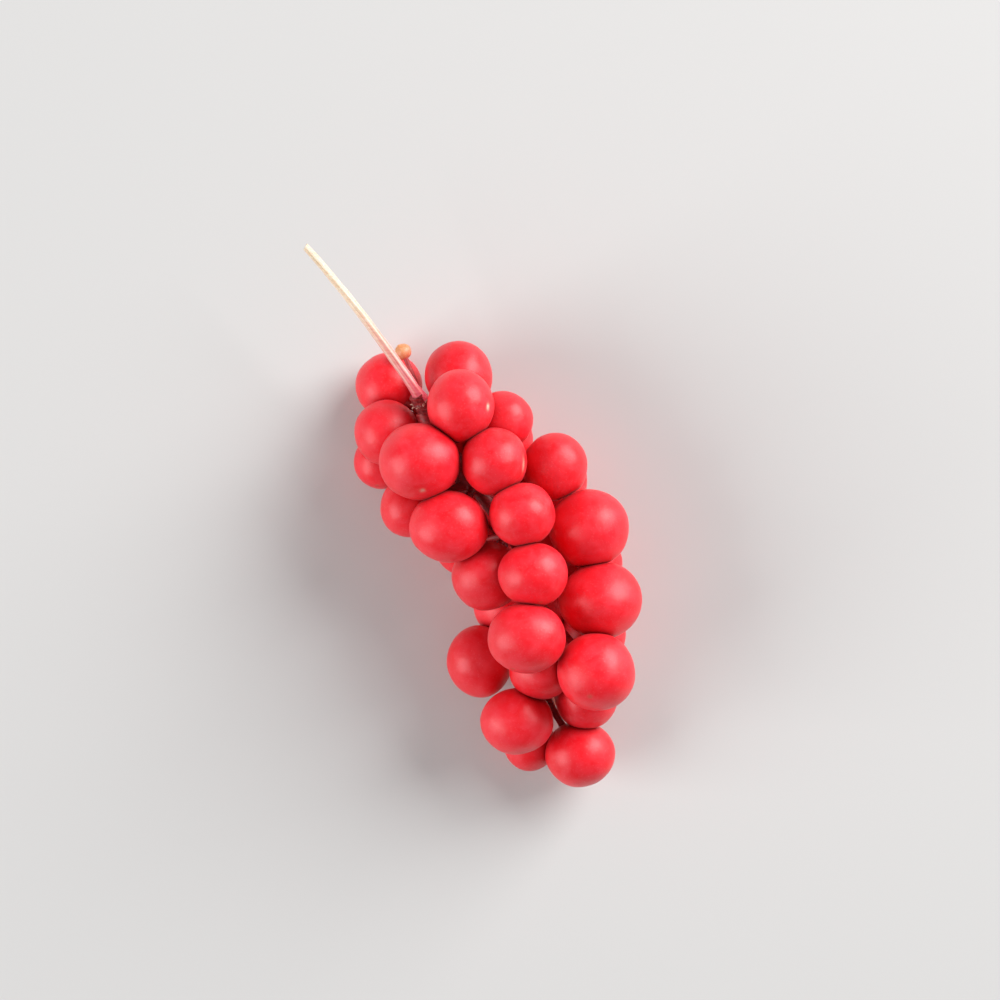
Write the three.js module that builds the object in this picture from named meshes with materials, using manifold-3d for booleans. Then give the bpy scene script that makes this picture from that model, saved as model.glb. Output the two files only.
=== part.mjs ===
// A picked fruit bunch of schisandra, lying on a flat surface: a bare stalk, a scarred collar, a
// receptacle that carries one short stipe for each berry, the crowded ripe berries themselves and
// a few small carpels that never ripened. Everything grew together, so nothing moves.
//
// Units are millimetres. +Z is up and the surface is z = 0. Places below are in a plan whose origin
// is the middle of the collar, with the bunch running roughly along -Y; the last lines move the
// frame's origin to the middle of the bunch's footprint.
import * as THREE from "three";
import { mergeVertices } from "three/addons/utils/BufferGeometryUtils.js";
import Module from "manifold-3d";

// ---------------------------------------------------------------- driving dimensions
const STALK_RADIUS_CUT = 0.39; // at the end that was cut from the vine
const STALK_RADIUS_FOOT = 0.62; // where it flares into the collar
const STALK_FLARE = 0.16; // extra radius at the very foot
const FLARE_LENGTH = 0.125; // share of the stalk over which the flare dies away
const STALK_RIBS = 5; // shallow ridges along the stalk
const STALK_RIB_HEIGHT = 0.06;
const STALK_RINGS = 16;
const COLLAR_RADIUS = 0.92;
const COLLAR_BUMP = 0.1; // scars left by the fallen flower parts
const COLLAR_SCARS = 5;
const COLLAR_RINGS = 4;
const COLLAR_FOOT_GAP = 0.7; // wider, because the collar meets the receptacle at an angle
const RECEPTACLE_RADIUS = 1.15;
const RECEPTACLE_TIP_RADIUS = 0.6;
const RECEPTACLE_END = 0.4; // the very tip's radius, as a share of the radius just behind it
const RECEPTACLE_ROUNDING = 0.05; // share of the length over which the tip rounds off
const RECEPTACLE_SIDES = 10;
const RECEPTACLE_RINGS = 20;
const STIPE_RADIUS_FOOT = 0.6;
const STIPE_RADIUS_HEAD = 0.4;
const STIPE_SIDES = 6;
const STIPE_RINGS = 6;
const GAP = 0.3; // clearance between a piece and its neighbour
const BERRY_SIDES = 12;
const BERRY_RINGS = 10;
const CARPEL_SIDES = 10;
const CARPEL_RINGS = 8;
const PRESS = 0.09; // how far two berries may flatten each other, as a share of their radii
const FOOT_PRESS = 0.22; // how far a berry's underside is flattened by the surface
const SETTLE_STEPS = 900;
const CROWN_HOLD = 0.2; // share of its way home that a crown berry moves sideways in one step
const FOOT_HOLD = 0.02; // the same for a foot berry
const LIFT_HOLD = 0.02; // and for any berry, up or down
const STIPE_STEPS = 8; // stretches in the route of one stipe
const STIPE_ROUNDS = 60;
const LENGTH_COST = 0.2; // clearance a stipe gives up for each millimetre it is shorter
const LINE_SAMPLES = 80; // points along the stalk and the receptacle
const FIRST_SEAT = 5; // samples of the receptacle between which stipes may leave it
const LAST_SEAT = 77;

// The stalk, from the collar to the cut end.
const STALK_LINE = [
  [0.0, 1.1, 10.4],
  [-3.1, 5.6, 12.8],
  [-7.4, 11.4, 14.9],
  [-12.4, 17.4, 16.2],
];

// The receptacle, from the collar to the tip of the bunch.
const RECEPTACLE_LINE = [
  [0.6, -0.9, 9.2],
  [4.6, -6.8, 8.8],
  [10.3, -14.5, 8.0],
  [13.2, -22.0, 6.3],
  [14.0, -28.5, 4.9],
  [14.0, -33.5, 4.4],
];

// Berries that show from above: place in plan, height of the centre, diameter.
const CROWN_BERRIES = [
  [4.1, 3.7, 7.5, 7.6],
  [4.4, 0.2, 14.0, 7.6],
  [9.1, -1.3, 9.5, 6.5],
  [-3.8, 2.6, 3.7, 7.5],
  [-2.7, -2.2, 8.8, 7.2],
  [-0.1, -5.9, 14.3, 8.6],
  [-4.7, -5.7, 3.0, 6.0],
  [8.1, -5.9, 14.2, 7.3],
  [14.8, -6.4, 9.5, 7.1],
  [18.5, -13.3, 10.5, 8.8],
  [11.1, -11.7, 14.8, 7.2],
  [3.1, -13.0, 13.6, 8.1],
  [-1.2, -10.9, 9.4, 6.8],
  [7.4, -18.4, 9.8, 7.8],
  [12.3, -18.3, 14.8, 7.3],
  [19.8, -21.2, 11.0, 8.8],
  [11.7, -25.2, 13.4, 8.1],
  [18.8, -28.9, 10.8, 8.6],
  [9.9, -22.0, 3.5, 7.0],
  [13.4, -29.3, 8.8, 6.9],
  [17.9, -32.1, 4.6, 7.0],
  [6.5, -28.1, 5.0, 7.7],
  [11.2, -33.9, 7.0, 7.7],
  [17.6, -38.5, 5.2, 7.6],
  [12.1, -37.6, 2.8, 6.0],
  [18.6, -17.0, 3.4, 7.0],
  [4.9, -14.9, 3.4, 7.0],
];

// Berries that carry the bunch from below: place in plan and diameter.
const FOOT_BERRIES = [
  [1.5, -3.0, 7.4],
  [0.5, -9.3, 7.0],
  [8.6, -4.4, 7.6],
  [7.5, -10.5, 7.0],
  [13.9, -10.2, 7.6],
  [13.0, -17.5, 7.2],
  [18.9, -25.2, 7.4],
  [14.9, -22.7, 4.6],
];

// Carpels that never ripened: place in plan, height and diameter.
const UNRIPE_CARPELS = [
  [-2.1, 6.4, 7.0, 1.9],
  [14.1, -32.8, 1.8, 2.0],
  [2.4, -6.4, 7.4, 1.8],
];

// ---------------------------------------------------------------- settling the berries
const vector = ([x, y, z]) => new THREE.Vector3(x, y, z);
const stalkCurve = new THREE.CatmullRomCurve3(STALK_LINE.map(vector));
const receptacleCurve = new THREE.CatmullRomCurve3(RECEPTACLE_LINE.map(vector));
const stalkPoints = stalkCurve.getSpacedPoints(LINE_SAMPLES);
const receptaclePoints = receptacleCurve.getSpacedPoints(LINE_SAMPLES);
const seats = receptaclePoints.slice(FIRST_SEAT, LAST_SEAT + 1);

function nearest(points, place) {
  return points.reduce((best, p) =>
    p.distanceToSquared(place) < best.distanceToSquared(place) ? p : best,
  );
}

// Pushes a berry's centre straight away from a line until the line is clear of it.
function keepOff(points, place, distance) {
  const line = nearest(points, place);
  const away = place.clone().sub(line);
  const short = distance - away.length();
  if (short > 0) place.addScaledVector(away.normalize(), short);
}

function settledBerries() {
  const berries = [
    ...CROWN_BERRIES.map(([x, y, z, d]) => ({
      home: vector([x, y, z]),
      radius: d / 2,
      hold: CROWN_HOLD,
    })),
    ...FOOT_BERRIES.map(([x, y, d]) => ({
      home: vector([x, y, d / 2 - FOOT_PRESS]),
      radius: d / 2,
      hold: FOOT_HOLD,
      foot: true,
    })),
  ];
  for (const b of berries) b.place = b.home.clone();
  for (let step = 0; step < SETTLE_STEPS; step++) {
    const calming = 1 - step / SETTLE_STEPS;
    for (const b of berries) {
      b.place.x += (b.home.x - b.place.x) * b.hold * calming;
      b.place.y += (b.home.y - b.place.y) * b.hold * calming;
      b.place.z += (b.home.z - b.place.z) * LIFT_HOLD * calming;
    }
    berries.forEach((a, i) =>
      berries.slice(i + 1).forEach((b) => {
        const apart = b.place.clone().sub(a.place);
        const short = (a.radius + b.radius) * (1 - PRESS) - apart.length();
        if (short <= 0) return;
        apart.normalize().multiplyScalar(short / 2);
        a.place.sub(apart);
        b.place.add(apart);
      }),
    );
    for (const b of berries) {
      keepOff(receptaclePoints, b.place, b.radius + RECEPTACLE_RADIUS + GAP);
      keepOff(stalkPoints, b.place, b.radius + STALK_RADIUS_FOOT + STALK_RIB_HEIGHT + GAP);
      const floor = b.radius - FOOT_PRESS;
      b.place.z = b.foot ? floor : Math.max(b.place.z, floor);
    }
  }
  return berries;
}

// ---------------------------------------------------------------- berries
// How far a berry reaches along a direction: its radius, or less where a neighbour or the surface
// flattens it. Two berries share the plane in which their spheres would cross, less half the gap.
function pressedGeometry(berry, berries) {
  const planes = berries
    .filter((other) => other !== berry)
    .map((other) => {
      const apart = other.place.clone().sub(berry.place);
      const d = apart.length();
      const share = (d * d + berry.radius ** 2 - other.radius ** 2) / (2 * d);
      return { normal: apart.normalize(), reach: share - GAP / 2 };
    })
    .filter((plane) => plane.reach < berry.radius);
  planes.push({ normal: new THREE.Vector3(0, 0, -1), reach: berry.place.z });
  const geometry = new THREE.SphereGeometry(berry.radius, BERRY_SIDES, BERRY_RINGS).rotateX(Math.PI / 2);
  const position = geometry.attributes.position;
  const direction = new THREE.Vector3();
  for (let i = 0; i < position.count; i++) {
    direction.fromBufferAttribute(position, i).normalize();
    let reach = berry.radius;
    for (const plane of planes) {
      const facing = direction.dot(plane.normal);
      if (facing > 0) reach = Math.min(reach, plane.reach / facing);
    }
    position.setXYZ(i, ...direction.multiplyScalar(reach));
  }
  return geometry;
}

// ---------------------------------------------------------------- rods: stalk, collar, receptacle
// A closed rod along a curve. radiusAt takes how far along it is, from 0 to 1, and the angle round.
function rod(curve, radiusAt, sides, rings) {
  const geometry = new THREE.CylinderGeometry(1, 1, 1, sides, rings);
  const frames = curve.computeFrenetFrames(rings);
  const spine = curve.getSpacedPoints(rings);
  const position = geometry.attributes.position;
  for (let i = 0; i < position.count; i++) {
    const along = position.getY(i) + 0.5;
    const ring = Math.round(along * rings);
    const out = Math.hypot(position.getX(i), position.getZ(i));
    const angle = Math.atan2(position.getX(i), position.getZ(i));
    const reach = out * radiusAt(along, angle);
    const place = spine[ring].clone();
    place.addScaledVector(frames.normals[ring], reach * Math.cos(angle));
    place.addScaledVector(frames.binormals[ring], reach * Math.sin(angle));
    position.setXYZ(i, ...place);
  }
  geometry.deleteAttribute("normal");
  geometry.deleteAttribute("uv");
  return mergeVertices(geometry);
}

function stalkRadius(along, angle) {
  const taper = THREE.MathUtils.lerp(STALK_RADIUS_FOOT, STALK_RADIUS_CUT, along);
  const flare = STALK_FLARE * Math.max(0, 1 - along / FLARE_LENGTH) ** 2;
  return taper + flare + STALK_RIB_HEIGHT * Math.cos(STALK_RIBS * angle);
}

function collarRadius(along, angle) {
  return COLLAR_RADIUS + COLLAR_BUMP * Math.cos(COLLAR_SCARS * angle) * Math.sin(Math.PI * along);
}

// The receptacle narrows towards its tip, which is rounded.
function receptacleRadius(along) {
  const taper = THREE.MathUtils.lerp(RECEPTACLE_RADIUS, RECEPTACLE_TIP_RADIUS, along);
  const rounding = (1 - RECEPTACLE_END) * ((1 - along) / RECEPTACLE_ROUNDING);
  return taper * Math.min(1, RECEPTACLE_END + rounding);
}

function stipeRadius(along) {
  return THREE.MathUtils.lerp(STIPE_RADIUS_FOOT, STIPE_RADIUS_HEAD, along);
}

// ---------------------------------------------------------------- stipes
// Each fruit hangs on a stipe that leaves the receptacle wherever the way to the fruit is clearest,
// and bends round the fruits beside it.
function stipeCurve(fruit, obstacles) {
  const others = obstacles.filter((other) => other !== fruit);
  const clearance = (from, to) => {
    const way = new THREE.Line3(from, to);
    const foot = new THREE.Vector3();
    return Math.min(
      ...others.map((other) => {
        way.closestPointToPoint(other.place, true, foot);
        return foot.distanceTo(other.place) - other.radius;
      }),
    );
  };
  const score = (seat) => clearance(seat, fruit.place) - LENGTH_COST * seat.distanceTo(fruit.place);
  const seat = seats.reduce((best, place) => (score(place) > score(best) ? place : best));
  const head = seat.clone().sub(fruit.place).setLength(fruit.radius + GAP).add(fruit.place);
  const points = new THREE.LineCurve3(seat, head).getSpacedPoints(STIPE_STEPS);
  for (let round = 0; round < STIPE_ROUNDS; round++) {
    for (let i = 1; i < STIPE_STEPS; i++) {
      const middle = points[i - 1].clone().add(points[i + 1]).multiplyScalar(0.5);
      points[i].lerp(middle, 0.5);
      for (const other of others) {
        keepOff([other.place], points[i], other.radius + STIPE_RADIUS_FOOT + GAP / 2);
      }
    }
  }
  return new THREE.CatmullRomCurve3(points);
}

// ---------------------------------------------------------------- the whole bunch
const wasm = await Module();
wasm.setup();

function solidOf(geometry) {
  const vertProperties = new Float32Array(geometry.attributes.position.array);
  const triVerts = new Uint32Array(geometry.index.array);
  return new wasm.Manifold(new wasm.Mesh({ numProp: 3, vertProperties, triVerts }));
}

function geometryOf(solid) {
  const mesh = solid.getMesh();
  const geometry = new THREE.BufferGeometry();
  geometry.setAttribute("position", new THREE.BufferAttribute(mesh.vertProperties, 3));
  geometry.setIndex(new THREE.BufferAttribute(mesh.triVerts, 1));
  return geometry;
}

const materials = {
  skin: new THREE.MeshStandardMaterial({ color: 0xe0303c, roughness: 0.45, metalness: 0 }),
  stalk: new THREE.MeshStandardMaterial({ color: 0xe9a7a0, roughness: 0.6, metalness: 0 }),
  collar: new THREE.MeshStandardMaterial({ color: 0x6e1a18, roughness: 0.75, metalness: 0 }),
  receptacle: new THREE.MeshStandardMaterial({ color: 0xb03a34, roughness: 0.65, metalness: 0 }),
  unripe: new THREE.MeshStandardMaterial({ color: 0xe8b088, roughness: 0.5, metalness: 0 }),
};

const bunch = new THREE.Group();

function addPiece(name, geometry, material, place = new THREE.Vector3()) {
  const mesh = new THREE.Mesh(geometry, material);
  mesh.name = name;
  mesh.position.copy(place);
  bunch.add(mesh);
}

const berries = settledBerries();
const carpels = UNRIPE_CARPELS.map(([x, y, z, d]) => ({ place: vector([x, y, z]), radius: d / 2 }));
const fruits = [...berries, ...carpels];

berries.forEach((berry, i) => {
  const name = `berry_${String(i + 1).padStart(2, "0")}`;
  addPiece(name, pressedGeometry(berry, berries), materials.skin, berry.place);
});
carpels.forEach((carpel, i) => {
  const geometry = new THREE.SphereGeometry(carpel.radius, CARPEL_SIDES, CARPEL_RINGS);
  addPiece(`unripe_carpel_${i + 1}`, geometry, materials.unripe, carpel.place);
});

addPiece("stalk", rod(stalkCurve, stalkRadius, 2 * STALK_RIBS, STALK_RINGS), materials.stalk);

// The collar fills the way between the stalk's foot and the receptacle.
const collarLine = new THREE.Line3(receptaclePoints[0], stalkPoints[0]);
const shareOf = (length) => length / collarLine.distance();
const collarCurve = new THREE.LineCurve3(
  collarLine.at(shareOf(COLLAR_FOOT_GAP), new THREE.Vector3()),
  collarLine.at(1 - shareOf(GAP), new THREE.Vector3()),
);
addPiece("collar", rod(collarCurve, collarRadius, 2 * COLLAR_SCARS, COLLAR_RINGS), materials.collar);

const collar = {
  place: collarLine.getCenter(new THREE.Vector3()),
  radius: COLLAR_RADIUS + COLLAR_BUMP + GAP,
};
const stipes = fruits.map((fruit) => stipeCurve(fruit, [...fruits, collar]));
const receptacle = stipes.reduce(
  (whole, curve) => whole.add(solidOf(rod(curve, stipeRadius, STIPE_SIDES, STIPE_RINGS))),
  solidOf(rod(receptacleCurve, receptacleRadius, RECEPTACLE_SIDES, RECEPTACLE_RINGS)),
);
addPiece("receptacle", geometryOf(receptacle), materials.receptacle);

// The origin goes to the middle of the footprint, on the surface.
bunch.updateMatrixWorld(true);
const footprint = new THREE.Box3().setFromObject(bunch, true).getCenter(new THREE.Vector3());
bunch.position.set(-footprint.x, -footprint.y, 0);

export default bunch;
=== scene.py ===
# A picked bunch of ripe schisandra berries, lying on its side on a pale surface.
# The bunch is one grown thing: a bare stalk, a scarred collar, a receptacle with a short stipe for
# every fruit, the crowded red berries and a few carpels that never ripened.
import math

import bmesh
import bpy
import numpy as np
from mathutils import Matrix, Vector, noise


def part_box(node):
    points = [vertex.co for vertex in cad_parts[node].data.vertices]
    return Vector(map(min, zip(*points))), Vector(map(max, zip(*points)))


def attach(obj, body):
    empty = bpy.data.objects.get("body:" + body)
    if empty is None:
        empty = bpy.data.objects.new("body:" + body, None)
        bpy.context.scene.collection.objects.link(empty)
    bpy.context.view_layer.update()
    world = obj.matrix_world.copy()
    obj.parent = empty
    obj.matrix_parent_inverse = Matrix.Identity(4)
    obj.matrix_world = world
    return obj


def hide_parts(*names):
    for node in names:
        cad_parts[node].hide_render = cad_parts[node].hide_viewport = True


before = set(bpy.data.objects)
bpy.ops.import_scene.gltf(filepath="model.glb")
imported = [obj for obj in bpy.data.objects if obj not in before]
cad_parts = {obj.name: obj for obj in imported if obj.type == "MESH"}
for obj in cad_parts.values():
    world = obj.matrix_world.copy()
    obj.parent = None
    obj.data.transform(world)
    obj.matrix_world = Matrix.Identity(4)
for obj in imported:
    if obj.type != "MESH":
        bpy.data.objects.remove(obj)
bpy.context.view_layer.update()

# ---------------------------------------------------------------------------------------- camera
# It hangs straight above the bunch, over a point a little way down from the collar, with a long
# lens, so that the bunch lies as it does on a table that one leans over.
MM = 0.001
AIM_FROM_COLLAR = Vector((8.45, -10.37, 0)) * MM
CAMERA_HEIGHT = 420 * MM
SENSOR_WIDTH = 36.0
FOCAL_LENGTH = 133.5

collar_low, collar_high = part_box("collar")
collar_middle = (collar_low + collar_high) / 2
camera_data = bpy.data.cameras.new("camera")
camera_data.sensor_width = SENSOR_WIDTH
camera_data.lens = FOCAL_LENGTH
camera_data.clip_start = 0.01
camera_data.clip_end = 10
camera = bpy.data.objects.new("camera", camera_data)
camera.location = collar_middle + AIM_FROM_COLLAR
camera.location.z = CAMERA_HEIGHT
bpy.context.scene.collection.objects.link(camera)
bpy.context.scene.camera = camera

# ----------------------------------------------------------------------------------- ripe berries
# Each berry is a thin waxy skin over juicy flesh, grown against its neighbours: where two touch,
# both are flattened on one plane with rounded edges. The lowest are flattened by the surface too.
# The skin carries a soft bloom, fine pale dots and the small scar where the style dried off; near the
# flats its colour is painted darker, as painted shade in the crevices and under the berry.
FIT_ROUNDS = 12  # rounds in which the pressed places are told from the round ones
FIT_MARGIN = 0.01 * MM
BERRY_SUBDIVISIONS = 6
TOUCH_GAP = 0.02 * MM  # left between two berries that press on each other
EDGE_ROUND = 0.16 * MM  # how softly a pressed flat turns into the round side
CREVICE_SHADE_REACH = 0.40 * MM  # how far from a flat against a neighbour or the floor the painted shade reaches
NEAR_TOUCH = 1.07  # berries this close, as a share of their radii, may still meet where one bulges
SHAPE_WAVES = 0.045  # broad unevenness, as a share of the radius
SHAPE_WAVE_SCALE = 1.1
SKIN_DIMPLES = 0.004  # finer unevenness, the same way
SKIN_DIMPLE_SCALE = 4.5
SCAR_WIDTH = 0.11  # radians
SCAR_DEPTH = 0.07 * MM
SCAR_TIP = 0.35  # the dried tip in the scar's middle, as a share of its width
SCAR_RAGGEDNESS = 0.35

# How much wider across the bunch, and longer along it, some berries swelled than a round one.
BERRY_FORMS = {
    "berry_01": (1.00, 1.02),
    "berry_02": (0.97, 1.06),
    "berry_06": (1.04, 0.97),
    "berry_08": (0.98, 1.02),
    "berry_09": (1.00, 1.07),
    "berry_11": (1.02, 0.98),
    "berry_12": (1.06, 0.97),
    "berry_15": (1.04, 0.96),
    "berry_16": (1.05, 0.97),
    "berry_17": (1.06, 0.96),
    "berry_20": (1.04, 0.99),
    "berry_22": (0.97, 1.05),
    "berry_23": (1.05, 0.96),
    "berry_24": (1.03, 0.98),
}
# Where the scar of the style shows on the berries that turn it upwards. Some dried pale, and some
# are drawn out into a line.
SCAR_PLACES = {
    "berry_02": (0.81, -0.04, 0.58),
    "berry_06": (0.09, -0.74, 0.66),
    "berry_07": (-0.10, -0.85, 0.50),
    "berry_08": (0.90, -0.10, 0.42),
    "berry_15": (0.23, -0.85, 0.47),
    "berry_17": (-0.39, -0.85, 0.35),
    "berry_18": (-0.18, -0.61, 0.77),
}
PALE_SCARS = {"berry_02": 0.85, "berry_06": 0.35, "berry_08": 0.4}
LONG_SCARS = {"berry_02": 1.4, "berry_08": 3.2}

berry_names = sorted(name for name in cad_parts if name.startswith("berry_"))
carpel_names = sorted(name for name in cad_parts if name.startswith("unripe_carpel_"))


def sphere_of(node):
    """The centre and radius of the round part of a fruit, whose flattened places are left out."""
    points = np.array([v.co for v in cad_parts[node].data.vertices], float)
    points = np.unique(points.round(7), axis=0)
    round_part = points
    for _ in range(FIT_ROUNDS):
        system = np.column_stack([2 * round_part, np.ones(len(round_part))])
        solved = np.linalg.lstsq(system, (round_part**2).sum(axis=1), rcond=None)[0]
        centre = solved[:3]
        radius = math.sqrt(solved[3] + centre @ centre)
        inside = radius - np.linalg.norm(points - centre, axis=1)
        round_part = points[inside < max(FIT_MARGIN, np.quantile(inside, 0.5))]
    return centre, radius


fruits = {name: sphere_of(name) for name in berry_names + carpel_names}


def contact_planes(name):
    """The planes that flatten a berry: unit normals, and how far each lies from its centre."""
    centre, radius = fruits[name]
    normals = [np.array([0.0, 0.0, -1.0])]
    reaches = [centre[2]]
    for other in berry_names:
        other_centre, other_radius = fruits[other]
        apart = other_centre - centre
        distance = np.linalg.norm(apart)
        if other == name or distance > NEAR_TOUCH * (radius + other_radius):
            continue
        share = (distance**2 + radius**2 - other_radius**2) / (2 * distance)
        normals.append(apart / distance)
        reaches.append(share - TOUCH_GAP / 2)
    return np.array(normals), np.array(reaches)


def unit_ball(subdivisions):
    """The points of a ball of radius 1 and its triangles."""
    ball = bmesh.new()
    bmesh.ops.create_icosphere(ball, subdivisions=subdivisions, radius=1.0)
    points = np.array([v.co for v in ball.verts], float)
    faces = [[v.index for v in face.verts] for face in ball.faces]
    ball.free()
    return points / np.linalg.norm(points, axis=1)[:, None], faces


def waves(points, scale, seed):
    """Smooth unevenness from -1 to 1 at each point."""
    shift = Vector((seed * 7.3, seed * 3.1, seed * 5.7))
    return np.array([noise.noise(Vector(p) * scale + shift) for p in points])


def soft_least(a, b, softness):
    """The smaller of two reaches, with the corner between them rounded."""
    blend = np.clip(0.5 + 0.5 * (b - a) / softness, 0.0, 1.0)
    return b * (1 - blend) + a * blend - softness * blend * (1 - blend)


def piece_from(name, points, faces, masks):
    """A smooth mesh with one named mask for each entry of masks, ready for its material."""
    mesh = bpy.data.meshes.new(name)
    mesh.from_pydata(points.tolist(), [], faces)
    mesh.update()
    mesh.polygons.foreach_set("use_smooth", [True] * len(mesh.polygons))
    for mask, values in masks.items():
        attribute = mesh.attributes.new(mask, "FLOAT", "POINT")
        attribute.data.foreach_set("value", np.asarray(values, np.float32))
    piece = bpy.data.objects.new(name, mesh)
    bpy.context.scene.collection.objects.link(piece)
    return piece


ball_points, ball_faces = unit_ball(BERRY_SUBDIVISIONS)


def grow_berry(name, seed):
    centre, radius = fruits[name]
    normals, reaches = contact_planes(name)
    draw = np.random.default_rng(seed)
    wide, long = BERRY_FORMS.get(name, (1.0, 1.0))
    form = np.array((wide, long, 1.0))
    free = radius / np.linalg.norm(ball_points / form, axis=1)
    free *= 1 + SHAPE_WAVES * waves(ball_points, SHAPE_WAVE_SCALE, seed)
    free += radius * SKIN_DIMPLES * waves(ball_points, SKIN_DIMPLE_SCALE, seed + 50)

    # The style's scar sits in a shallow dimple, most often low down on the outer side.
    scar = draw.normal(size=3)
    scar[2] = -abs(scar[2]) * 0.6
    scar = np.array(SCAR_PLACES.get(name, scar))
    scar /= np.linalg.norm(scar)
    lengthways = np.array((0.0, 1.0, 0.0)) - scar * scar[1]
    lengthways /= np.linalg.norm(lengthways)
    aside = ball_points - np.outer(ball_points @ scar, scar)
    along = aside @ lengthways
    across = np.linalg.norm(aside - np.outer(along, lengthways), axis=1)
    from_scar = np.hypot(along / LONG_SCARS.get(name, 1.0), across)
    from_scar[ball_points @ scar < 0] = math.pi
    ragged = 1 + SCAR_RAGGEDNESS * waves(ball_points, 16.0, seed + 90)
    scar_mask = np.clip(np.exp(-((from_scar / SCAR_WIDTH) ** 2) * 3) * ragged, 0, 1)
    free -= SCAR_DEPTH * scar_mask
    free += SCAR_DEPTH * 1.1 * np.exp(-((from_scar / (SCAR_WIDTH * SCAR_TIP)) ** 2) * 3)

    reach = free.copy()
    # Painted shade: a mask that is 1 on each flat against a neighbour or the floor and fades away
    # from it, for a darker skin colour in the crevices where shade falls.
    crevice_shade = np.zeros(len(ball_points))
    for normal, plane_reach in zip(normals, reaches):
        facing = ball_points @ normal
        on_plane = np.where(facing > 0.05, plane_reach / np.maximum(facing, 0.05), 1.0)
        reach = soft_least(reach, on_plane, EDGE_ROUND)
        crevice_shade = np.maximum(crevice_shade, np.exp(-np.maximum(on_plane - free, 0) / CREVICE_SHADE_REACH))
    points = centre + ball_points * reach[:, None]
    points[:, 2] = np.maximum(points[:, 2], 0.0)
    return piece_from(
        "ripe_" + name,
        points,
        ball_faces,
        {
            "crevice_shade": crevice_shade,
            "scar": scar_mask,
            "pale_scar": scar_mask * PALE_SCARS.get(name, 0.0),
            "ripeness": np.full(len(points), draw.random()),
        },
    )


def mottle_group():
    """Fine mottling for a fruit's skin: broad blotches, patchy bloom, pale dots and a height."""
    group = bpy.data.node_groups.new("skin_mottle", "ShaderNodeTree")
    face = group.interface
    for socket, start in (("Blotch Scale", 260.0), ("Bloom Scale", 700.0), ("Dot Scale", 2600.0)):
        face.new_socket(socket, in_out="INPUT", socket_type="NodeSocketFloat").default_value = start
    for socket in ("Blotch", "Bloom", "Dots", "Height"):
        face.new_socket(socket, in_out="OUTPUT", socket_type="NodeSocketFloat")
    nodes, links = group.nodes, group.links
    entry = nodes.new("NodeGroupInput")
    out = nodes.new("NodeGroupOutput")
    where = nodes.new("ShaderNodeTexCoord")

    blotch = nodes.new("ShaderNodeTexNoise")
    blotch.inputs["Detail"].default_value = 3.0
    blotch.inputs["Roughness"].default_value = 0.55
    bloom = nodes.new("ShaderNodeTexNoise")
    bloom.inputs["Detail"].default_value = 5.0
    bloom.inputs["Roughness"].default_value = 0.65
    bloom.inputs["Distortion"].default_value = 0.6
    dots = nodes.new("ShaderNodeTexVoronoi")
    dots.inputs["Randomness"].default_value = 1.0
    grain = nodes.new("ShaderNodeTexNoise")
    grain.inputs["Detail"].default_value = 4.0
    grain.inputs["Roughness"].default_value = 0.6
    for texture, socket in ((blotch, "Blotch Scale"), (bloom, "Bloom Scale"), (dots, "Dot Scale")):
        links.new(where.outputs["Object"], texture.inputs["Vector"])
        links.new(entry.outputs[socket], texture.inputs["Scale"])
    links.new(where.outputs["Object"], grain.inputs["Vector"])
    links.new(entry.outputs["Dot Scale"], grain.inputs["Scale"])

    def spread(source, low, high):
        step = nodes.new("ShaderNodeMapRange")
        step.inputs["From Min"].default_value = low
        step.inputs["From Max"].default_value = high
        links.new(source, step.inputs["Value"])
        return step.outputs["Result"]

    blotch_mask = spread(blotch.outputs["Fac"], 0.32, 0.68)
    bloom_mask = spread(bloom.outputs["Fac"], 0.36, 0.7)
    dot_mask = spread(dots.outputs["Distance"], 0.30, 0.10)
    height = nodes.new("ShaderNodeMath")
    height.operation = "MULTIPLY_ADD"
    height.inputs[1].default_value = 0.5
    links.new(dot_mask, height.inputs[0])
    links.new(grain.outputs["Fac"], height.inputs[2])
    links.new(blotch_mask, out.inputs["Blotch"])
    links.new(bloom_mask, out.inputs["Bloom"])
    links.new(dot_mask, out.inputs["Dots"])
    links.new(height.outputs["Value"], out.inputs["Height"])
    return group


skin_mottle = mottle_group()


class Paint:
    """Short words for wiring one material: masks, mixes, and what feeds its shader."""

    def __init__(self, name):
        self.material = bpy.data.materials.new(name)
        self.material.use_nodes = True
        self.nodes = self.material.node_tree.nodes
        self.links = self.material.node_tree.links
        self.shader = self.nodes["Principled BSDF"]

    def mask(self, name):
        node = self.nodes.new("ShaderNodeAttribute")
        node.attribute_name = name
        return node.outputs["Fac"]

    def group(self, group, **values):
        node = self.nodes.new("ShaderNodeGroup")
        node.node_tree = group
        for socket, value in values.items():
            node.inputs[socket.replace("_", " ")].default_value = value
        return node.outputs

    def times(self, a, b):
        node = self.nodes.new("ShaderNodeMath")
        node.operation = "MULTIPLY"
        for socket, value in zip(node.inputs, (a, b)):
            if isinstance(value, (int, float)):
                socket.default_value = value
            else:
                self.links.new(value, socket)
        return node.outputs["Value"]

    def between(self, low, high, mask):
        """A number that goes from low to high with the mask."""
        node = self.nodes.new("ShaderNodeMapRange")
        node.inputs["To Min"].default_value = low
        node.inputs["To Max"].default_value = high
        self.links.new(mask, node.inputs["Value"])
        return node.outputs["Result"]

    def mix(self, under, over, mask):
        """One colour over another by a mask; a colour is a tuple or another mix."""
        node = self.nodes.new("ShaderNodeMix")
        node.data_type = "RGBA"
        for socket, value in ((node.inputs[6], under), (node.inputs[7], over)):
            if isinstance(value, tuple):
                socket.default_value = (*value, 1.0)
            else:
                self.links.new(value, socket)
        self.links.new(mask, node.inputs["Factor"])
        return node.outputs[2]

    def bump(self, height, distance, strength=1.0):
        node = self.nodes.new("ShaderNodeBump")
        node.inputs["Distance"].default_value = distance
        node.inputs["Strength"].default_value = strength
        self.links.new(height, node.inputs["Height"])
        self.links.new(node.outputs["Normal"], self.shader.inputs["Normal"])


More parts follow.
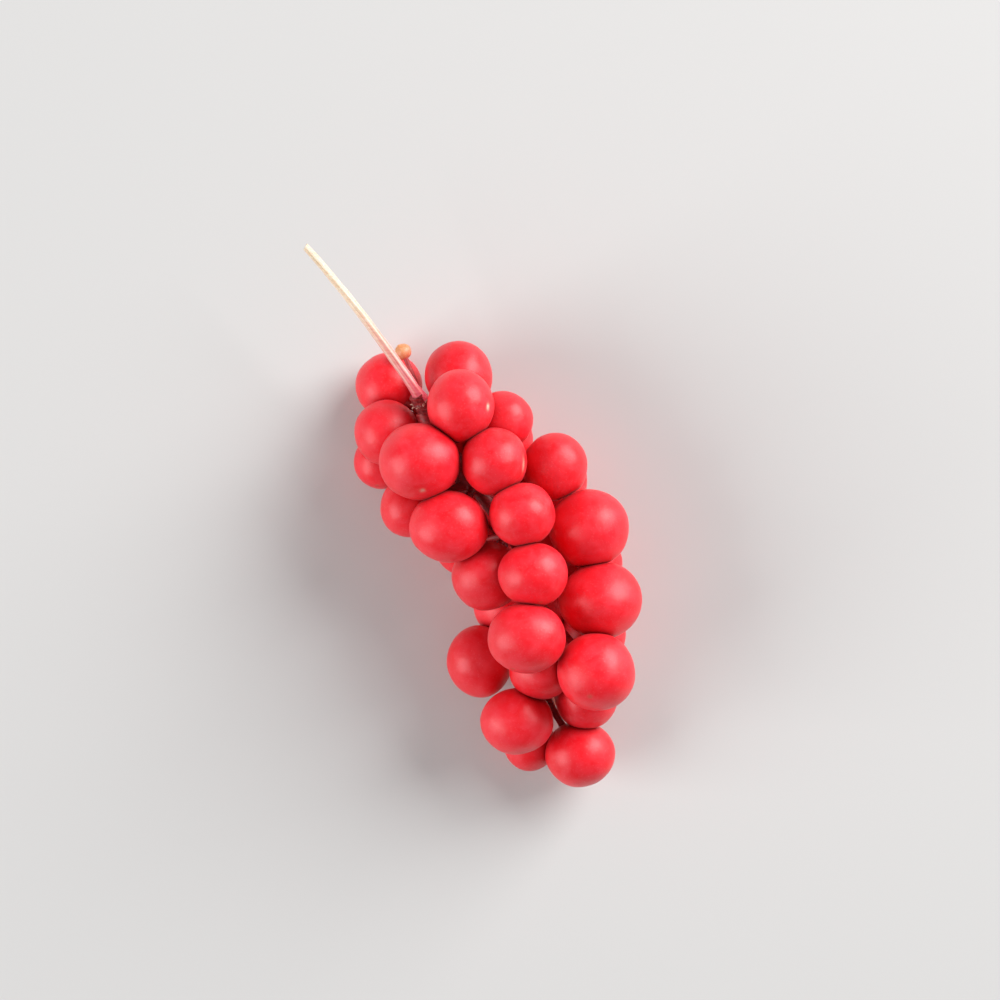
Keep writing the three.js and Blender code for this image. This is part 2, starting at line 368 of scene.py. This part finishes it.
def berry_skin_material():
    paint = Paint("berry_skin")
    skin = paint.group(skin_mottle, Blotch_Scale=240.0, Bloom_Scale=620.0, Dot_Scale=3200.0)
    red = paint.mix((0.86, 0.003, 0.010), (0.95, 0.010, 0.024), skin["Blotch"])
    red = paint.mix(red, (0.66, 0.002, 0.007), paint.times(paint.mask("ripeness"), 0.5))
    red = paint.mix(red, (0.96, 0.15, 0.21), paint.times(skin["Bloom"], 0.18))
    red = paint.mix(red, (0.98, 0.30, 0.32), paint.times(skin["Dots"], 0.09))
    # Painted shade: dark red near the flats against neighbours and the floor, where shade falls in
    # the crevices.
    red = paint.mix(red, (0.36, 0.001, 0.004), paint.times(paint.mask("crevice_shade"), 0.75))
    red = paint.mix(red, (0.50, 0.11, 0.06), paint.times(paint.mask("scar"), 0.6))
    red = paint.mix(red, (0.88, 0.66, 0.52), paint.mask("pale_scar"))
    paint.links.new(red, paint.shader.inputs["Base Color"])
    paint.links.new(paint.between(0.36, 0.50, skin["Bloom"]), paint.shader.inputs["Roughness"])
    paint.bump(skin["Height"], 0.018 * MM)
    shader = paint.shader.inputs
    shader["Subsurface Weight"].default_value = 0.20
    shader["Subsurface Radius"].default_value = (1.0, 0.22, 0.14)
    shader["Subsurface Scale"].default_value = 0.6 * MM
    shader["Specular IOR Level"].default_value = 0.45
    shader["Specular Tint"].default_value = (1.0, 0.74, 0.78, 1.0)
    shader["Coat Roughness"].default_value = 0.40
    shader["Coat Weight"].default_value = 0.22
    shader["Sheen Weight"].default_value = 0.04
    shader["Sheen Roughness"].default_value = 0.4
    shader["Sheen Tint"].default_value = (1.0, 0.75, 0.78, 1.0)
    return paint.material


berry_skin = berry_skin_material()
for number, name in enumerate(berry_names):
    berry = grow_berry(name, number + 1)
    berry.data.materials.append(berry_skin)
    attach(berry, "root")
    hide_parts(name)

# ------------------------------------------------------------------------------------------ stalk
# The bunch's own stalk, snapped off the vine: woody, ribbed and straight, cream and dry at the cut
# end and still pink and fleshy at the foot, where it flares into a rim over the collar.
STALK_RINGS = 260
STALK_SIDES = 60
STALK_CUT_RADIUS = 0.37 * MM
STALK_FOOT_RADIUS = 0.60 * MM
STALK_RIM = 0.16 * MM
STALK_RIM_LENGTH = 1.1  # millimetres over which the rim dies away
STALK_RIBS = 5
STALK_RIB_HEIGHT = 0.075 * MM
STALK_GROOVES = 0.016 * MM
STALK_GROOVE_COUNT = 13
STALK_DENTS = 0.04 * MM
STALK_TUCK = 0.3 * MM  # over which the foot draws in under the rim
STALK_CUT_TILT = 0.16 * MM
STALK_INTO_COLLAR = 0.35 * MM
# The cut face from its edge to its middle: share of the radius, and millimetres it stands out.
CUT_PROFILE = (
    (0.96, 0.02),
    (0.86, 0.05),
    (0.70, 0.03),
    (0.52, 0.02),
    (0.36, -0.03),
    (0.20, -0.16),
    (0.06, -0.20),
)


def middle_line(node):
    """A rod's middle line, from its end nearest the collar: the place at each share of its length."""
    points = np.array([v.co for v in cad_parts[node].data.vertices], float)
    middle = points.mean(axis=0)
    direction = np.linalg.svd(points - middle, full_matrices=False)[2][0]
    far_side = np.linalg.norm(middle + direction - np.array(collar_middle))
    near_side = np.linalg.norm(middle - direction - np.array(collar_middle))
    direction *= 1.0 if far_side > near_side else -1.0
    along = (points - middle) @ direction
    low, high = along.min(), along.max()
    curves = [np.polynomial.Polynomial.fit(along, points[:, axis], 3) for axis in range(3)]
    return lambda share: np.stack([curve(low + (high - low) * share) for curve in curves], axis=-1)


def rod_grid(route, radii):
    """Rings of points round a route. radii has one row for each point of the route."""
    rings, sides = radii.shape
    tangents = np.gradient(route, axis=0)
    tangents /= np.linalg.norm(tangents, axis=1)[:, None]
    across = np.cross(tangents[0], (0.31, 0.17, 0.93))
    across /= np.linalg.norm(across)
    angles = np.linspace(0, 2 * math.pi, sides, endpoint=False)
    grid = np.empty((rings, sides, 3))
    for ring in range(rings):
        across -= tangents[ring] * (across @ tangents[ring])
        across /= np.linalg.norm(across)
        over = np.cross(tangents[ring], across)
        circle = np.outer(np.cos(angles), across) + np.outer(np.sin(angles), over)
        grid[ring] = route[ring] + circle * radii[ring][:, None]
    return grid


def rod_faces(rings, sides, start=0):
    """Quads between the rings of a rod, with a many-sided face on each end ring."""
    faces = [
        [
            start + ring * sides + side,
            start + ring * sides + (side + 1) % sides,
            start + (ring + 1) * sides + (side + 1) % sides,
            start + (ring + 1) * sides + side,
        ]
        for ring in range(rings - 1)
        for side in range(sides)
    ]
    last = start + (rings - 1) * sides
    faces.append([start + side for side in reversed(range(sides))])
    faces.append([last + side for side in range(sides)])
    return faces


def make_stalk():
    line = middle_line("stalk")
    length = np.linalg.norm(line(1.0) - line(0.0))
    shares = np.linspace(-STALK_INTO_COLLAR / length, 1.0, STALK_RINGS)
    angles = np.linspace(0, 2 * math.pi, STALK_SIDES, endpoint=False)
    share, angle = np.meshgrid(shares, angles, indexing="ij")
    taper = STALK_FOOT_RADIUS + (STALK_CUT_RADIUS - STALK_FOOT_RADIUS) * np.clip(share, 0, 1) ** 0.8
    from_foot = np.clip(share, 0, 1) * length / MM
    rim = STALK_RIM * np.exp(-((from_foot / STALK_RIM_LENGTH) ** 2))
    twist = angle + 0.5 * share
    ribs = STALK_RIB_HEIGHT * (np.abs(np.cos(twist * STALK_RIBS / 2)) - 0.5)
    ribs += STALK_GROOVES * np.cos(twist * STALK_GROOVE_COUNT + 2 * np.sin(share * 9))
    dents = np.array(
        [
            noise.noise(Vector((math.cos(a) * 0.8, math.sin(a) * 0.8, s * 9)))
            for s, a in zip(share.ravel(), angle.ravel())
        ]
    ).reshape(share.shape)
    radii = taper + rim + ribs * (1 + 0.5 * dents) + STALK_DENTS * dents
    tuck = np.clip((share - shares[0]) * length / STALK_TUCK, 0, 1)
    radii *= 0.75 + 0.25 * np.sqrt(tuck * (2 - tuck))
    grid = rod_grid(line(shares), radii)

    # The cut: a slightly slanting face, with a raised woody ring and a shrunken pith.
    end = grid[-1]
    middle = end.mean(axis=0)
    outward = line(1.0) - line(0.98)
    outward /= np.linalg.norm(outward)
    inner_rings = []
    for inset, depth in CUT_PROFILE:
        ring = middle + (end - middle) * inset + outward * depth * MM
        inner_rings.append(ring)
    cap = np.array(inner_rings)
    slant = (np.concatenate([grid[-3:], cap]) - middle) @ np.array((0.6, 0.5, 0.4))
    points = np.concatenate([grid, cap])
    rings = len(points)
    points[-len(slant):] += outward * (slant / STALK_CUT_RADIUS * STALK_CUT_TILT)[..., None]
    flat = points.reshape(-1, 3)
    cut = np.zeros((rings, STALK_SIDES))
    cut[STALK_RINGS:] = 0.55
    cut[STALK_RINGS + 3:] = 1.0
    # Its foot is still fresh and pink; it has dried from the cut down, last of all in the grooves.
    dryness = np.ones((rings, STALK_SIDES))
    dryness[:STALK_RINGS] = np.clip((share - 0.03) / 0.55, 0, 1) ** 0.8
    crest = np.abs(np.cos(twist * STALK_RIBS / 2))
    groove = np.zeros((rings, STALK_SIDES))
    groove[:STALK_RINGS] = (1 - crest) * np.clip(1.35 * (0.80 - share), 0, 1)
    # Painted highlight: the rib crests are coloured pale, standing in for the light that runs along
    # them.
    crest_highlight = np.zeros((rings, STALK_SIDES))
    crest_highlight[:STALK_RINGS] = np.clip((crest - 0.86) / 0.14, 0, 1) * np.clip(share * 6, 0, 1)
    return piece_from(
        "bunch_stalk",
        flat,
        rod_faces(rings, STALK_SIDES),
        {
            "cut": cut.ravel(),
            "dryness": dryness.ravel(),
            "groove": groove.ravel(),
            "crest_highlight": crest_highlight.ravel(),
        },
    )


def fibre_group():
    """Fine lengthways streaks and scattered flecks for woody and fibrous parts, and a height."""
    group = bpy.data.node_groups.new("plant_fibre", "ShaderNodeTree")
    face = group.interface
    for socket, start in (("Streak Scale", 3000.0), ("Fleck Scale", 2200.0)):
        face.new_socket(socket, in_out="INPUT", socket_type="NodeSocketFloat").default_value = start
    for socket in ("Streaks", "Flecks", "Height"):
        face.new_socket(socket, in_out="OUTPUT", socket_type="NodeSocketFloat")
    nodes, links = group.nodes, group.links
    entry = nodes.new("NodeGroupInput")
    out = nodes.new("NodeGroupOutput")
    where = nodes.new("ShaderNodeTexCoord")
    lay = nodes.new("ShaderNodeMapping")
    lay.inputs["Rotation"].default_value = (0.0, math.radians(-20), math.radians(-54))
    lay.inputs["Scale"].default_value = (0.12, 1.0, 1.0)
    streaks = nodes.new("ShaderNodeTexNoise")
    streaks.inputs["Detail"].default_value = 4.0
    flecks = nodes.new("ShaderNodeTexNoise")
    flecks.inputs["Detail"].default_value = 3.0
    flecks.inputs["Roughness"].default_value = 0.7
    links.new(where.outputs["Object"], lay.inputs["Vector"])
    links.new(lay.outputs["Vector"], streaks.inputs["Vector"])
    links.new(where.outputs["Object"], flecks.inputs["Vector"])
    links.new(entry.outputs["Streak Scale"], streaks.inputs["Scale"])
    links.new(entry.outputs["Fleck Scale"], flecks.inputs["Scale"])
    streak_mask = nodes.new("ShaderNodeMapRange")
    streak_mask.inputs["From Min"].default_value = 0.35
    streak_mask.inputs["From Max"].default_value = 0.65
    fleck_mask = nodes.new("ShaderNodeMapRange")
    fleck_mask.inputs["From Min"].default_value = 0.58
    fleck_mask.inputs["From Max"].default_value = 0.72
    links.new(streaks.outputs["Fac"], streak_mask.inputs["Value"])
    links.new(flecks.outputs["Fac"], fleck_mask.inputs["Value"])
    height = nodes.new("ShaderNodeMath")
    height.operation = "ADD"
    links.new(streaks.outputs["Fac"], height.inputs[0])
    links.new(flecks.outputs["Fac"], height.inputs[1])
    links.new(streak_mask.outputs["Result"], out.inputs["Streaks"])
    links.new(fleck_mask.outputs["Result"], out.inputs["Flecks"])
    links.new(height.outputs["Value"], out.inputs["Height"])
    return group


plant_fibre = fibre_group()


def stalk_material():
    paint = Paint("stalk_bark")
    fibre = paint.group(plant_fibre, Streak_Scale=3600.0, Fleck_Scale=2400.0)
    dryness = paint.mask("dryness")
    fresh = paint.mix((0.70, 0.03, 0.07), (0.84, 0.14, 0.19), fibre["Streaks"])
    dry = paint.mix((0.86, 0.62, 0.40), (0.92, 0.78, 0.58), fibre["Streaks"])
    colour = paint.mix(fresh, dry, dryness)
    colour = paint.mix(colour, (0.66, 0.13, 0.20), paint.times(paint.mask("groove"), 0.8))
    # Painted highlight: pale colour on the rib crests.
    colour = paint.mix(colour, (0.94, 0.74, 0.68), paint.times(paint.mask("crest_highlight"), 0.6))
    colour = paint.mix(colour, (0.52, 0.28, 0.16), paint.times(fibre["Flecks"], 0.2))
    colour = paint.mix(colour, (0.30, 0.20, 0.09), paint.times(paint.mask("cut"), 0.8))
    paint.links.new(colour, paint.shader.inputs["Base Color"])
    paint.links.new(paint.between(0.45, 0.65, fibre["Streaks"]), paint.shader.inputs["Roughness"])
    paint.bump(fibre["Height"], 0.02 * MM)
    paint.shader.inputs["Subsurface Weight"].default_value = 0.12
    paint.shader.inputs["Subsurface Radius"].default_value = (1.0, 0.5, 0.35)
    paint.shader.inputs["Subsurface Scale"].default_value = 0.3 * MM
    return paint.material


stalk = make_stalk()
stalk.data.materials.append(stalk_material())
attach(stalk, "root")
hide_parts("stalk")

# ----------------------------------------------------------------------------------------- collar
# A short knuckle where the flower parts sat: dark wine red, warty with their scars, and edged under
# the stalk's rim with a ragged ring of dried, pale, papery shreds.
COLLAR_RINGS = 90
COLLAR_SIDES = 110
COLLAR_RADIUS = 0.86 * MM
COLLAR_WARTS = 0.13 * MM
WART_SIZE = 0.42 * MM
COLLAR_SWELLING = 0.10 * MM
COLLAR_OVERRUN = 0.4
SHREDS = 9
SHRED_STEPS = 12
SHRED_THICKNESS = 0.05 * MM


def make_collar():
    toward_stalk = np.array(frame_direction)
    shares = np.linspace(-COLLAR_OVERRUN, 1 + COLLAR_OVERRUN, COLLAR_RINGS)
    route = collar_foot + np.outer(shares, collar_head - collar_foot)
    radii = np.full((COLLAR_RINGS, COLLAR_SIDES), COLLAR_RADIUS)
    grid = rod_grid(route, radii)
    outward = grid - route[:, None, :]
    outward /= np.linalg.norm(outward, axis=2)[..., None]
    warts = [noise.voronoi(Vector(p / WART_SIZE))[0][0] for p in grid.reshape(-1, 3)]
    warts = np.array(warts).reshape(radii.shape)
    knuckle = COLLAR_SWELLING * np.sin(np.clip(shares, 0, 1) * math.pi)[:, None]
    grid += outward * (COLLAR_WARTS * (0.45 - warts) + knuckle)[..., None]
    points = [grid.reshape(-1, 3)]
    faces = rod_faces(COLLAR_RINGS, COLLAR_SIDES)
    papery = [np.zeros(COLLAR_RINGS * COLLAR_SIDES)]
    draw = np.random.default_rng(11)
    count = COLLAR_RINGS * COLLAR_SIDES
    for number in range(SHREDS):
        turn = 2 * math.pi * (number + 0.5 * draw.random()) / SHREDS
        side = int(turn / (2 * math.pi) * COLLAR_SIDES) % COLLAR_SIDES
        root_ring = int(COLLAR_RINGS * (0.60 + 0.10 * draw.random()))
        out = outward[root_ring, side]
        across = np.cross(toward_stalk, out)
        length = (0.30 + 0.25 * draw.random()) * MM
        width = (0.14 + 0.12 * draw.random()) * MM
        curl = 0.6 + 1.0 * draw.random()
        sway = draw.normal() * 0.5
        steps = np.linspace(0, 1, SHRED_STEPS)
        strip = []
        for step in steps:
            lean = step * curl
            middle = grid[root_ring, side] - 0.06 * MM * out
            middle = middle + length * step * (math.cos(lean) * toward_stalk + math.sin(lean) * out)
            middle = middle + across * length * sway * step**2
            half_width = width * (1 - 0.75 * step**1.5) * (1 + 0.25 * math.sin(step * 17 + number))
            lift = SHRED_THICKNESS * (1 - 0.5 * step)
            normal = math.cos(lean) * out - math.sin(lean) * toward_stalk
            for right, up in ((-1, -1), (1, -1), (1, 1), (-1, 1)):
                strip.append(middle + across * half_width * right + normal * lift * up)
        points.append(np.array(strip))
        faces += rod_faces(SHRED_STEPS, 4, start=count)
        papery.append(np.ones(len(strip)))
        count += len(strip)
    masks = {"papery": np.concatenate(papery)}
    return piece_from("flower_scar_collar", np.concatenate(points), faces, masks)


def collar_material():
    paint = Paint("collar_bark")
    fibre = paint.group(plant_fibre, Streak_Scale=5200.0, Fleck_Scale=3000.0)
    dark = paint.mix((0.12, 0.006, 0.008), (0.30, 0.015, 0.018), fibre["Streaks"])
    dark = paint.mix(dark, (0.62, 0.30, 0.25), paint.times(fibre["Flecks"], 0.4))
    pale = paint.mix((0.40, 0.13, 0.10), (0.68, 0.42, 0.33), fibre["Streaks"])
    colour = paint.mix(dark, pale, paint.mask("papery"))
    paint.links.new(colour, paint.shader.inputs["Base Color"])
    paint.links.new(paint.between(0.35, 0.75, fibre["Streaks"]), paint.shader.inputs["Roughness"])
    paint.bump(fibre["Height"], 0.03 * MM)
    return paint.material


collar_points = np.array([v.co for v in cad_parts["collar"].data.vertices], float)
collar_line = middle_line("stalk")
frame_direction = collar_line(0.02) - collar_line(0.0)
frame_direction = frame_direction / np.linalg.norm(frame_direction)
collar_reach = (collar_points - np.array(collar_middle)) @ frame_direction
collar_foot = np.array(collar_middle) + frame_direction * collar_reach.min()
collar_head = np.array(collar_middle) + frame_direction * collar_reach.max()
collar = make_collar()
collar.data.materials.append(collar_material())
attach(collar, "root")
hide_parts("collar")

# ------------------------------------------------------------------------- receptacle and stipes
# The tough core that runs down the middle of the bunch. It drew out as the fruits swelled, and each
# fruit hangs on it by a short fleshy stipe that bends round its neighbours.
RECEPTACLE_FROM_COLLAR = (
    (0.35, -1.17, -0.70),
    (4.35, -7.07, -1.10),
    (10.05, -14.77, -1.90),
    (12.95, -22.27, -3.60),
    (13.75, -28.77, -5.00),
    (13.75, -33.77, -5.50),
)
RECEPTACLE_RADIUS = 1.08 * MM
RECEPTACLE_TIP_RADIUS = 0.55 * MM
RECEPTACLE_RINGS = 120
STIPE_FOOT_RADIUS = 0.58 * MM
STIPE_NECK_RADIUS = 0.36 * MM
STIPE_CLEARANCE = 0.75 * MM
STIPE_STEPS = 8
STIPE_ROUNDS = 60
STIPE_LENGTH_COST = 0.2  # clearance a stipe gives up for each millimetre it is shorter
STIPE_SINK = 0.25 * MM
ROD_SIDES = 20
REMESH_SIZE = 0.12 * MM
SMALL_FRUIT_RADIUS = 2 * MM
RECEPTACLE_UNEVENNESS = 0.035 * MM


def receptacle_route():
    corners = np.array(RECEPTACLE_FROM_COLLAR) * MM + np.array(collar_middle)
    lengths = np.linalg.norm(np.diff(corners, axis=0), axis=1)
    shares = np.concatenate([[0], np.cumsum(lengths)]) / lengths.sum()
    curves = [np.polynomial.Polynomial.fit(shares, corners[:, axis], 4) for axis in range(3)]
    steps = np.linspace(-0.02, 1, RECEPTACLE_RINGS)
    return np.stack([curve(steps) for curve in curves], axis=-1)


def stipe_route(name, seats):
    """The way of one stipe: from the clearest seat on the receptacle, bending round other fruits."""
    centre, radius = fruits[name]
    others = [fruits[other] for other in fruits if other != name]
    others.append((np.array(collar_middle), COLLAR_RADIUS + 0.5 * MM))
    places = np.array([place for place, _ in others])
    sizes = np.array([size for _, size in others])

    def score(seat):
        way = centre - seat
        shares = np.clip(((places - seat) @ way) / (way @ way), 0, 1)
        nearest = seat + shares[:, None] * way
        clearance = (np.linalg.norm(nearest - places, axis=1) - sizes).min()
        return clearance - STIPE_LENGTH_COST * np.linalg.norm(way)

    seat = max(seats, key=score)
    facing = (seat - centre) / np.linalg.norm(seat - centre)
    route = np.linspace(seat, centre + facing * radius, STIPE_STEPS + 1)
    for _ in range(STIPE_ROUNDS):
        for step in range(1, STIPE_STEPS):
            route[step] = (route[step] + (route[step - 1] + route[step + 1]) / 2) / 2
            away = route[step] - places
            short = sizes + STIPE_CLEARANCE - np.linalg.norm(away, axis=1)
            for other in np.flatnonzero(short > 0):
                away = route[step] - places[other]
                distance = np.linalg.norm(away)
                push = max(0.0, sizes[other] + STIPE_CLEARANCE - distance)
                route[step] += away / distance * push
    inward = (centre - route[-1]) / np.linalg.norm(centre - route[-1])
    return np.vstack([route, route[-1] + inward * STIPE_SINK])


def make_receptacle():
    spine = receptacle_route()
    shares = np.linspace(0, 1, RECEPTACLE_RINGS)
    taper = RECEPTACLE_RADIUS + (RECEPTACLE_TIP_RADIUS - RECEPTACLE_RADIUS) * shares
    taper = taper * np.minimum(1.0, 0.3 + (1 - shares) * 14)
    knots = 1 + 0.10 * np.sin(shares * 55) * np.sin(shares * 23)
    grids = [rod_grid(spine, np.repeat((taper * knots)[:, None], ROD_SIDES, axis=1))]
    seats = spine[8:-3]
    for name in fruits:
        route = stipe_route(name, seats)
        fine = np.linspace(0, 1, 4 * len(route))
        knots_at = np.linspace(0, 1, len(route))
        smooth = np.stack([np.interp(fine, knots_at, route[:, axis]) for axis in range(3)], axis=-1)
        small = fruits[name][1] < SMALL_FRUIT_RADIUS
        foot = STIPE_FOOT_RADIUS * (0.75 if small else 1.0)
        neck = STIPE_NECK_RADIUS * (0.7 if small else 1.0)
        widths = neck + (foot - neck) * (1 - fine) ** 2 + 0.45 * neck * fine**6
        grids.append(rod_grid(smooth, np.repeat(widths[:, None], ROD_SIDES, axis=1)))
    points, faces, count = [], [], 0
    for grid in grids:
        points.append(grid.reshape(-1, 3))
        faces += rod_faces(len(grid), ROD_SIDES, start=count)
        count += len(points[-1])
    rough = piece_from("receptacle_rough", np.concatenate(points), faces, {})
    remesh = rough.modifiers.new("join", "REMESH")
    remesh.mode = "VOXEL"
    remesh.voxel_size = REMESH_SIZE
    soften = rough.modifiers.new("soften", "SMOOTH")
    soften.factor = 0.5
    soften.iterations = 6
    evaluated = rough.evaluated_get(bpy.context.evaluated_depsgraph_get())
    mesh = bpy.data.meshes.new_from_object(evaluated)
    bpy.data.objects.remove(rough)
    skin = np.array([v.co for v in mesh.vertices], float)
    normals = np.array([v.normal for v in mesh.vertices], float)
    skin += normals * (RECEPTACLE_UNEVENNESS * waves(skin / MM, 1.6, 3))[:, None]
    mesh.vertices.foreach_set("co", skin.ravel())
    mesh.polygons.foreach_set("use_smooth", [True] * len(mesh.polygons))
    mesh.name = "receptacle_and_stipes"
    piece = bpy.data.objects.new("receptacle_and_stipes", mesh)
    bpy.context.scene.collection.objects.link(piece)
    return piece


def receptacle_material():
    paint = Paint("receptacle_flesh")
    fibre = paint.group(plant_fibre, Streak_Scale=3000.0, Fleck_Scale=1800.0)
    # Its own deep red, made darker as painted shade, so that it reads as shaded where it shows in the
    # gaps between the berries.
    colour = paint.mix((0.26, 0.006, 0.010), (0.46, 0.022, 0.028), fibre["Streaks"])
    colour = paint.mix(colour, (0.66, 0.18, 0.13), paint.times(fibre["Flecks"], 0.3))
    paint.links.new(colour, paint.shader.inputs["Base Color"])
    paint.links.new(paint.between(0.4, 0.62, fibre["Streaks"]), paint.shader.inputs["Roughness"])
    paint.bump(fibre["Height"], 0.03 * MM)
    paint.shader.inputs["Subsurface Weight"].default_value = 0.15
    paint.shader.inputs["Subsurface Radius"].default_value = (1.0, 0.3, 0.2)
    paint.shader.inputs["Subsurface Scale"].default_value = 0.4 * MM
    return paint.material


receptacle = make_receptacle()
receptacle.data.materials.append(receptacle_material())
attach(receptacle, "root")
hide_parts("receptacle")

# --------------------------------------------------------------------------------- unripe carpels
# Flowers that were never fertilised leave small hard carpels between the berries: pale, plump and
# drawn out to a blunt beak, with a faint blush.
CARPEL_SUBDIVISIONS = 5
CARPEL_BEAK = 0.16

carpel_points, carpel_faces = unit_ball(CARPEL_SUBDIVISIONS)


def grow_carpel(name, seed):
    centre, radius = fruits[name]
    outward = np.array((0.0, 0.0, -1.0)) if centre[2] < 3 * MM else np.array((-0.5, 0.7, 0.5))
    outward /= np.linalg.norm(outward)
    facing = carpel_points @ outward
    reach = radius * (1 + 0.03 * waves(carpel_points, 1.6, seed))
    reach *= 1 - 0.06 * facing**2 + CARPEL_BEAK * np.clip((facing - 0.93) / 0.07, 0, 1) ** 2
    points = centre + carpel_points * reach[:, None]
    masks = {"blush": (facing + 1) / 2}
    return piece_from(name.replace("unripe", "small_unripe"), points, carpel_faces, masks)


def carpel_material():
    paint = Paint("carpel_skin")
    skin = paint.group(skin_mottle, Blotch_Scale=700.0, Bloom_Scale=1500.0, Dot_Scale=5200.0)
    colour = paint.mix((0.74, 0.30, 0.12), (0.84, 0.52, 0.28), skin["Blotch"])
    colour = paint.mix((0.64, 0.10, 0.06), colour, paint.mask("blush"))
    colour = paint.mix(colour, (0.94, 0.82, 0.62), paint.times(skin["Dots"], 0.4))
    paint.links.new(colour, paint.shader.inputs["Base Color"])
    paint.links.new(paint.between(0.35, 0.5, skin["Bloom"]), paint.shader.inputs["Roughness"])
    paint.bump(skin["Height"], 0.01 * MM)
    paint.shader.inputs["Subsurface Weight"].default_value = 0.3
    paint.shader.inputs["Subsurface Radius"].default_value = (1.0, 0.6, 0.35)
    paint.shader.inputs["Subsurface Scale"].default_value = 0.4 * MM
    return paint.material


carpel_skin = carpel_material()
for number, name in enumerate(carpel_names):
    carpel = grow_carpel(name, number + 1)
    carpel.data.materials.append(carpel_skin)
    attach(carpel, "root")
    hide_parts(name)

# -------------------------------------------------------------------------------- floor and light
# A plain pale table under the bunch, a big soft window light from the upper right and a weaker one
# from the left, and an even pale room.
FLOOR_SIZE = 3.0

floor_mesh = bpy.data.meshes.new("floor")
half = FLOOR_SIZE / 2
floor_corners = [(-half, -half, 0), (half, -half, 0), (half, half, 0), (-half, half, 0)]
floor_mesh.from_pydata(floor_corners, [], [(0, 1, 2, 3)])
floor = bpy.data.objects.new("floor", floor_mesh)
bpy.context.scene.collection.objects.link(floor)
floor_paint = Paint("pale_floor")
floor_paint.shader.inputs["Base Color"].default_value = (0.62, 0.61, 0.60, 1.0)
floor_paint.shader.inputs["Roughness"].default_value = 0.7
floor_mesh.materials.append(floor_paint.material)


def window_light(name, azimuth, elevation, distance, size, power):
    """A square soft light that looks at the bunch; azimuth is counted from +X towards +Y."""
    data = bpy.data.lights.new(name, "AREA")
    data.shape = "SQUARE"
    data.size = size
    data.energy = power
    light = bpy.data.objects.new(name, data)
    level = distance * math.cos(math.radians(elevation))
    light.location = (
        level * math.cos(math.radians(azimuth)),
        level * math.sin(math.radians(azimuth)),
        distance * math.sin(math.radians(elevation)),
    )
    light.rotation_euler = (-Vector(light.location)).to_track_quat("-Z", "Y").to_euler()
    bpy.context.scene.collection.objects.link(light)
    return light


window_light("window_right", azimuth=36, elevation=30, distance=0.8, size=0.60, power=10.0)
window_light("window_left", azimuth=196, elevation=28, distance=0.8, size=0.55, power=5.2)

bpy.context.scene.view_settings.view_transform = "Standard"
world = bpy.data.worlds.new("room")
world.use_nodes = True
world.node_tree.nodes["Background"].inputs["Color"].default_value = (0.95, 0.97, 1.0, 1.0)
world.node_tree.nodes["Background"].inputs["Strength"].default_value = 0.25
bpy.context.scene.world = world
